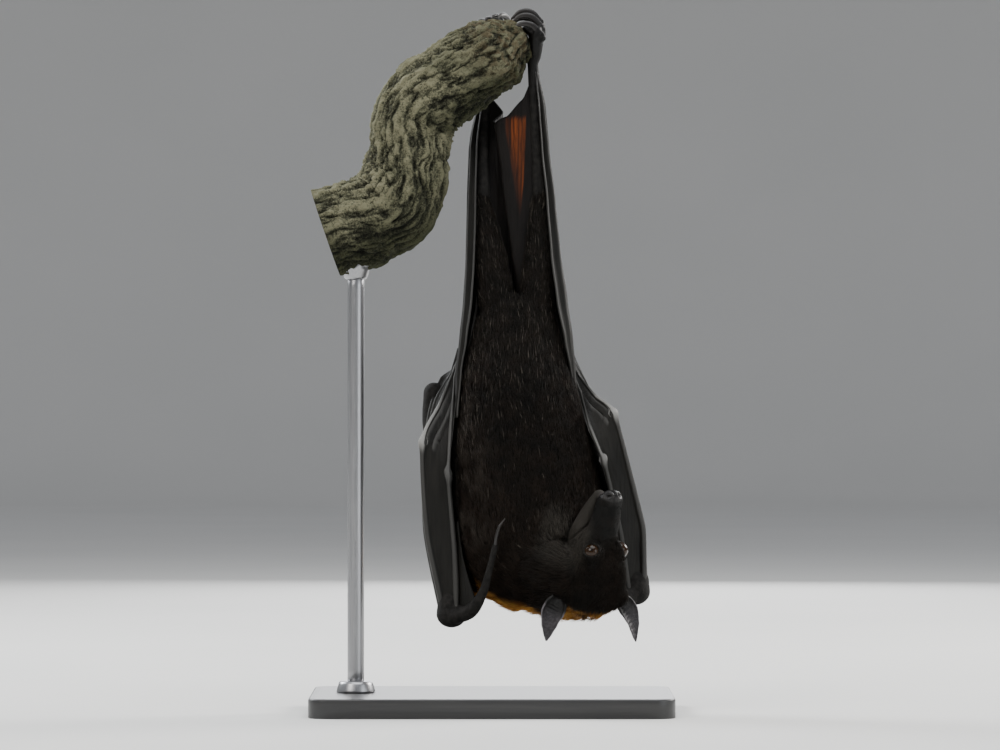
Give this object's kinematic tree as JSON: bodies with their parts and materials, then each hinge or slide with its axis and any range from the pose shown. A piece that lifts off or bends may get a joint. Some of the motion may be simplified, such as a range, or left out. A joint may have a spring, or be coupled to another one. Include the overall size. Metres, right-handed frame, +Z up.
{
  "type": "fruit bat",
  "caption": "Life-size model of a large flying fox hanging by its feet from a cut length of branch, wings folded, on a flat display base with an upright rod.",
  "frame": {"origin": "middle of the stand base's underside", "axes": "+Z up, +X to the animal's right, +Y from its belly to its back; the animal hangs head down"},
  "size_m": [0.26, 0.17, 0.5058],
  "materials": {
    "fur": "matte",
    "naked_skin": "satin",
    "wing_membrane": "satin",
    "tail_membrane": "satin",
    "nose": "gloss",
    "eye": "gloss",
    "claw": "satin",
    "bark": "matte",
    "stand_metal": "satin",
    "stand_base": "satin"
  },
  "bodies": {
    "root": {"stand_base": "stand_base", "stand_collar": "stand_metal", "stand_rod": "stand_metal", "stand_cup": "stand_metal", "perch_branch": "bark", "trunk": "fur", "neck": "fur", "head": "fur", "lower_jaw": "fur", "nose": "nose", "eye_left": "eye", "eye_right": "eye", "ear_left": "naked_skin", "ear_right": "naked_skin", "thigh_left": "fur", "thigh_right": "fur", "shin_left": "naked_skin", "shin_right": "naked_skin", "foot_left": "naked_skin", "foot_right": "naked_skin", "foot_left_claw_1": "claw", "foot_left_claw_2": "claw", "foot_left_claw_3": "claw", "foot_left_claw_4": "claw", "foot_left_claw_5": "claw", "foot_right_claw_1": "claw", "foot_right_claw_2": "claw", "foot_right_claw_3": "claw", "foot_right_claw_4": "claw", "foot_right_claw_5": "claw", "upper_arm_left": "fur", "upper_arm_right": "fur", "forearm_left": "naked_skin", "forearm_right": "naked_skin", "wrist_left": "naked_skin", "wrist_right": "naked_skin", "thumb_left": "naked_skin", "thumb_right": "naked_skin", "thumb_claw_left": "claw", "thumb_claw_right": "claw", "wing_flank_left": "wing_membrane", "wing_flank_right": "wing_membrane", "wing_hand_left": "wing_membrane", "wing_hand_right": "wing_membrane", "wing_web_left": "wing_membrane", "wing_web_right": "wing_membrane", "wing_arm_left": "wing_membrane", "wing_arm_right": "wing_membrane", "tail_membrane": "tail_membrane"}
  },
  "joints": []
}
